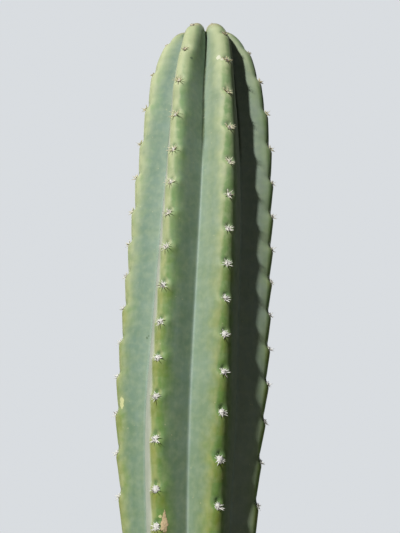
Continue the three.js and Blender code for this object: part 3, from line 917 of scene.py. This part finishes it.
def skin_material(colours, mottle):
    """Waxy skin: blue-green flanks, crests sun-bleached and painted lighter on the lit side and painted
    darker away from it, wax and painted sheen, painted cleft shade, bloom in the grooves, scars.
    """
    settings = {"Specular IOR Level": 0.3, "Sheen Weight": 0.2, "Sheen Roughness": 0.35}
    material, tree, shader = new_material("cactus_skin", settings)
    names = ("from_crest", "from_groove", "lit_and_bleached", "tint", "wax", "beat_along", "beat_across")
    near, bed, lit_side, tint, wax_and_sheen, beat_along, beat_across = [attribute(tree, name) for name in names]
    over = beat_across.maths("ARCTAN2", beat_along) * (AREOLE_PITCH / math.tau)
    place = object_place(tree)
    _, _, height = place.parts()

    def drawn(across, along):
        """A place with its axes scaled, so that a pattern on it is drawn out where the share is small."""
        return vector_maths(tree, "MULTIPLY", place, (across, across, along))

    def blotches(name, where=place):
        return blotchy(tree, mottle, where, *BLOTCHES[name])

    wander = blotches("wander") - 0.5
    ragged = blotches("ragged") - 0.5
    drawn_out = drawn(1.0, 0.12)
    streaks = blotches("streaks", drawn_out)
    edge = near + wander * 0.008 + ragged * 0.004
    aged = height + wander * 0.03
    young = aged.smooth(*YOUNG_FLANK)
    crest_young = aged.smooth(*YOUNG_CREST)

    # The flanks, with bluer blotches and stripes, a yellower foot and bloom towards the grooves.
    flank = young.blend(colours.flank_old, colours.flank_young)
    cool = blotches("cool") * 0.3 + (tint * young.mix(-0.6, -0.9)).at_least(0)
    flank = cool.at_most(1).blend(flank, colours.teal)
    mellow = height.smooth(1.46, 1.595, 0.6, 0) * tint.smooth(-0.6, 0.6, 0.5, 1)
    flank = mellow.blend(flank, colours.mellow)
    flank = (tint * young.mix(0.2, 0.6)).at_least(0).blend(flank, colours.warm)
    flank = (blotches("stripes", drawn_out) * 0.25).blend(flank, colours.teal)
    bloom = bed.smooth(0, 0.0022, 0.3, 0) * height.smooth(1.72, 1.77, 1, 0) + bed.smooth(0, 0.012, 0.13, 0)
    flank = (bloom + streaks * 0.12).blend(flank, colours.bloom)

    # The crests, sun-bleached and painted lighter on the side that faces the light, painted darker and
    # greener on the side away from it, with short marks brushed along them.
    lit_and_bleached = crest_young.blend(colours.lit_bleached_old, colours.lit_bleached_young)
    lit_and_bleached = (tint * crest_young.mix(-0.38, -0.62)).at_least(0).blend(lit_and_bleached, colours.tip)
    fresh_and_shaded = crest_young.blend(colours.fresh_and_shaded_old, colours.fresh_and_shaded_young)
    lit_bleach_share = lit_side + wander * 0.2 + ragged * 0.12 + crest_young.mix(-0.09, -0.04)
    lit_bleach_share = lit_bleach_share + (tint * crest_young.mix(0.22, 0.15)).at_least(0)
    crest = lit_bleach_share.smooth(*LIT_AND_BLEACHED).blend(fresh_and_shaded, lit_and_bleached)
    crest = (blotches("brushed") * crest_young.mix(0.4, 0.2)).blend(crest, fresh_and_shaded)
    dark_marks = blotches("dark marks", drawn(1.0, 0.35)) * crest_young.mix(0.3, 0.12)
    crest = dark_marks.blend(crest, colours.deep)
    pale_marks = blotches("pale marks", drawn(1.0, 0.3)) * 0.1
    crest = pale_marks.blend(crest, colours.healed)
    width = young.mix(*CREST_BAND) + (tint * young.mix(0, -0.006)).at_least(0)
    colour = edge.smooth(0.001, width, 1, 0).blend(flank, crest)

    # The creamy wax beside a crest, with a paler rim, both also painting the sheen of a flank seen edge-on
    # in the light, and the pale blotches on the crest's edge.
    sheen_rim = wax_and_sheen * near.smooth(0.001, 0.004) * near.smooth(0.005, 0.008, 1, 0)
    colour = (sheen_rim * 0.75).blend(colour, colours.tip)
    wax = wax_and_sheen * near.smooth(0.004, 0.0075) * young.mix(0.78, 0.84)
    colour = wax.blend(colour, colours.wax)
    pale = blotches("pale edge") * edge.smooth(0, 0.007, 1, 0) * young.mix(0.0, 0.4)
    colour = pale.blend(colour, colours.tip)

    # Round an areole: a pale halo, a sunned patch below and a bluer lip above.
    reach = over * over + near * near + wander * 0.00003
    halo = reach.smooth(0.000006, 0.00006, 1, 0) * young.mix(0.0, 0.55) * (ragged + 0.8)
    colour = halo.at_least(0).blend(colour, colours.tip)
    below = over.smooth(-0.024, -0.008) * over.smooth(-0.003, 0.0005, 1, 0)
    patch = below * edge.smooth(0.0005, 0.008, 1, 0) * crest_young.smooth(0, 0.8, 0.5, 0.1) * (ragged + 0.9)
    colour = patch.blend(colour, colours.olive)
    lip = over.smooth(0.001, 0.003) * over.smooth(0.004, 0.008, 1, 0) * edge.smooth(0.001, 0.007, 0.3, 0)
    colour = lip.blend(colour, colours.teal)

    # The youngest skin at the tip, painted lighter on the side that faces the light, its blush, and painted
    # shade in the closed clefts below it.
    tip = height.smooth(1.79, 1.855) * near.smooth(0.003, 0.020, 1, 0) * lit_side.smooth(0.0, 0.5, 0.2, 1)
    colour = (tip * 0.7).blend(colour, colours.tip)
    blush = height.smooth(1.866, 1.878) * blotches("blush") * near.smooth(0.002, 0.012, 1, 0)
    colour = (blush * 0.75).blend(colour, colours.blush)
    cleft_shade_mask = bed.smooth(0.0004, 0.0022, 1, 0) * height.smooth(1.735, 1.77)
    colour = (cleft_shade_mask * 0.85).blend(colour, colours.cleft_shade)

    # Weals, flecks, specks, scars and the corky foot.
    colour = (blotches("weals", drawn(0.4, 1.0)) * 0.24).blend(colour, colours.deep)
    colour = (blotches("flecks") * 0.14).blend(colour, colours.tip)
    specks = add(tree, "ShaderNodeTexVoronoi", {"Vector": place, "Scale": 260.0}, output="Distance")
    specks = specks.smooth(0.08, 0.16, 1, 0) * blotches("specks") * 0.5
    colour = specks.blend(colour, colours.speck)
    for name, middle, size in SCARS:
        colour = (scar(tree, place, middle, size) * 0.8).blend(colour, getattr(colours, name))
    foot = (height + wander * 0.06).smooth(0.05, 0.19, 1, 0) * blotches("foot")
    colour = foot.blend(colour, colours.cork)
    scabby = scar(tree, place, CORK_SCAR, CORK_SCAR_SIZE, CORK_SCAR_TAPER)
    scab = blotches("scab").blend(colours.scab, colours.cork)
    feed(tree, shader.inputs["Base Color"], scabby.blend(colour, scab))

    bark = foot.at_least(scabby)
    feed(tree, shader.inputs["Roughness"], streaks.smooth(0, 1, 0.56, 0.68) + bark * 0.3)
    creases = noise(tree, drawn_out, 420.0, 3.0) * near.smooth(0.002, 0.02, 0.9, 0.35)
    bump(tree, shader, noise(tree, place, 1500.0) * 0.25 + creases + bark * 1.5, 0.00015)
    return material


def felt_material(name, colours, mottle, roughness, dirty):
    """Felt and wool: pale, tan while young, and dirty to a share."""
    material, tree, shader = new_material(name, {"Roughness": roughness, "Sheen Weight": 0.3})
    place = object_place(tree)
    dirt = blotchy(tree, mottle, place, 420.0, 0.42, 0.2).mix(dirty, 1) * dirty
    young = attribute(tree, "age").smooth(0, 0.3, 0.5, 0)
    colour = young.blend(dirt.blend(colours.felt, colours.felt_shade), colours.felt_young)
    feed(tree, shader.inputs["Base Color"], colour)
    bump(tree, shader, noise(tree, place, 6000.0), 0.0002)
    return material


def spine_material(colours, mottle):
    """Horny needles: bone-coloured with brown points, yellower and browner while young."""
    material, tree, shader = new_material("spine_horn", {"Roughness": 0.45})
    age = attribute(tree, "age")
    weathered = blotchy(tree, mottle, object_place(tree), 700.0, 0.4, 0.25)
    colour = age.smooth(0.2, 1, 0.8, 0).blend(colours.spine, colours.spine_young)
    colour = (weathered * 0.2).blend(colour, colours.felt_shade)
    point = attribute(tree, "along").smooth(0.8, 1, 0, 0.7)
    darker = attribute(tree, "dice").smooth(0.88, 0.92, 0, 0.7)
    dark = (point + darker + age.smooth(0, 0.3, 0.25, 0)).at_most(1)
    feed(tree, shader.inputs["Base Color"], dark.blend(colour, colours.spine_tip))
    bump(tree, shader, weathered, 0.0001)
    return material


def floor_material(colours, mottle):
    """Pale matt floor paint with a hardly visible unevenness."""
    material, tree, shader = new_material("studio_floor", {"Roughness": 0.7})
    paler = tuple(min(1, part * 1.04) for part in colours.floor)
    cloud = blotchy(tree, mottle, object_place(tree), 2.0, 0.5, 0.4)
    feed(tree, shader.inputs["Base Color"], cloud.blend(colours.floor, paler))
    return material


def shared_mottle():
    """The mottle group, made once for every material."""
    return bpy.data.node_groups.get("mottle") or mottle_group()


def shared_surface(scene):
    """The group that knows the stem's shape, made once for the skin and all that grows on it."""
    return bpy.data.node_groups.get("stem_surface") or surface_group(scene.cactus_stem)


def keep_piece(name, tree, values, nodes):
    """Makes a piece of the plant from its tree, hangs it on the root body and hides the solids it stands
    for.
    """
    piece = plain_mesh(name, tree, values)
    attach(piece, "root")
    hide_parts(*nodes)
    return piece


def areole_nodes():
    return sorted(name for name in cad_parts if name.startswith("areole_"))


class CACTUS_OT_stem(bpy.types.Operator):
    """Grow the ribbed skin of the column, in an upper and a lower piece"""

    bl_idname = "cactus.stem"
    bl_label = "Stem"

    def execute(self, context):
        sizes = context.scene.cactus_stem
        material = skin_material(context.scene.cactus_skin, shared_mottle())
        tree = stem_tree(shared_surface(context.scene), sizes, material)
        upper = {"From": SEAM, "To": 2 * HEIGHT, "Rings": sizes.upper_rings}
        lower = {"From": 0.0, "To": SEAM, "Rings": sizes.lower_rings}
        keep_piece("stem_upper", tree, upper, ["stem"])
        keep_piece("stem_lower", tree, lower, ["stem"])
        return {"FINISHED"}


class CACTUS_OT_areoles(bpy.types.Operator):
    """Grow the felt and the wool of every areole"""

    bl_idname = "cactus.areoles"
    bl_label = "Areoles"

    def execute(self, context):
        sizes = context.scene.cactus_areoles
        surface = shared_surface(context.scene)
        felt = felt_material("areole_felt", sizes, shared_mottle(), 0.95, 0.5)
        wool = felt_material("areole_wool", sizes, shared_mottle(), 0.8, 0.12)
        nodes = areole_nodes()
        keep_piece("areole_cushions", felt_tree(surface, sizes, felt), {}, nodes)
        keep_piece("areole_hairs", wool_tree(surface, sizes, wool), {}, nodes)
        return {"FINISHED"}


class CACTUS_OT_spines(bpy.types.Operator):
    """Grow the spines of every areole"""

    bl_idname = "cactus.spines"
    bl_label = "Spines"

    def execute(self, context):
        sizes = context.scene.cactus_areoles
        horn = spine_material(sizes, shared_mottle())
        tree = spine_tree(shared_surface(context.scene), sizes, horn)
        keep_piece("areole_spines", tree, {}, areole_nodes())
        return {"FINISHED"}


def add_area(name, power, size, turn, rise, distance):
    """A round light on a turn to the left of the front and a rise above the level, aimed at the plant."""
    data = bpy.data.lights.new(name, "AREA")
    data.shape = "DISK"
    data.size = size
    data.energy = power
    light = bpy.data.objects.new(name, data)
    bpy.context.scene.collection.objects.link(light)
    flat = math.cos(rise) * distance
    level = HEIGHT * LIT_HEIGHT + math.sin(rise) * distance
    light.location = (-math.sin(turn) * flat, -math.cos(turn) * flat, level)
    light.rotation_euler = (math.pi / 2 - rise, 0, -turn)
    return data


def make_air(stage):
    """A pale studio all round, brighter to look at than it shines on the plant."""
    world = bpy.data.worlds.new("air")
    world.use_nodes = True
    tree = world.node_tree
    background = tree.nodes["Background"]
    background.inputs["Color"].default_value = (*stage.air, 1)
    seen = add(tree, "ShaderNodeLightPath", output="Is Camera Ray")
    feed(tree, background.inputs["Strength"], seen.mix(stage.air_light, stage.air_seen))
    return world


class CACTUS_OT_stage(bpy.types.Operator):
    """Set up the floor, the soft studio light and the camera"""

    bl_idname = "cactus.stage"
    bl_label = "Stage"

    def execute(self, context):
        stage = context.scene.cactus_stage
        scene = context.scene
        camera = bpy.data.objects.new("camera", bpy.data.cameras.new("camera"))
        camera.location = stage.camera_place
        camera.rotation_euler = (math.pi / 2 + stage.camera_tilt, 0, 0)
        camera.data.lens = stage.camera_lens
        camera.data.sensor_width = 36
        scene.collection.objects.link(camera)
        scene.camera = camera

        bpy.ops.mesh.primitive_circle_add(vertices=96, radius=stage.floor_radius, fill_type="NGON")
        floor = context.object
        floor.name = "floor"
        floor.data.transform(mathutils.Matrix.Translation((0, 0, FLOOR_LEVEL)))
        floor.data.materials.append(floor_material(stage, shared_mottle()))

        key_place = (stage.key_turn, stage.key_rise, KEY_DISTANCE)
        add_area("key", stage.key_power, stage.key_size, *key_place).spread = stage.key_spread
        add_area("fill", stage.fill_power, **FILL_LIGHT)
        add_area("back", stage.back_power, **BACK_LIGHT)
        scene.world = make_air(stage)
        scene.view_settings.view_transform = "Standard"
        return {"FINISHED"}


OPERATORS = (CACTUS_OT_stem, CACTUS_OT_areoles, CACTUS_OT_spines, CACTUS_OT_stage)


class CACTUS_PT_panel(bpy.types.Panel):
    """Lists what grows the plant and sets its stage"""

    bl_idname = "CACTUS_PT_panel"
    bl_label = "San pedro cactus"
    bl_space_type = "VIEW_3D"
    bl_region_type = "UI"
    bl_category = "Cactus"

    def draw(self, context):
        for operator in OPERATORS:
            self.layout.operator(operator.bl_idname)
        for group in SETTINGS:
            box = self.layout.box()
            settings = getattr(context.scene, group)
            for name in settings.__annotations__:
                box.prop(settings, name)


SETTINGS = {
    "cactus_stem": CactusStemSizes,
    "cactus_skin": CactusSkinColours,
    "cactus_areoles": CactusAreoleSizes,
    "cactus_stage": CactusStage,
}
CLASSES = (*SETTINGS.values(), *OPERATORS, CACTUS_PT_panel)


def register():
    for each in CLASSES:
        bpy.utils.register_class(each)
    for name, group in SETTINGS.items():
        setattr(bpy.types.Scene, name, PointerProperty(type=group))


def unregister():
    for name in SETTINGS:
        delattr(bpy.types.Scene, name)
    for each in reversed(CLASSES):
        bpy.utils.unregister_class(each)


def main():
    register()
    bpy.ops.cactus.stem()
    bpy.ops.cactus.areoles()
    bpy.ops.cactus.spines()
    bpy.ops.cactus.stage()


if __name__ == "__main__":
    main()
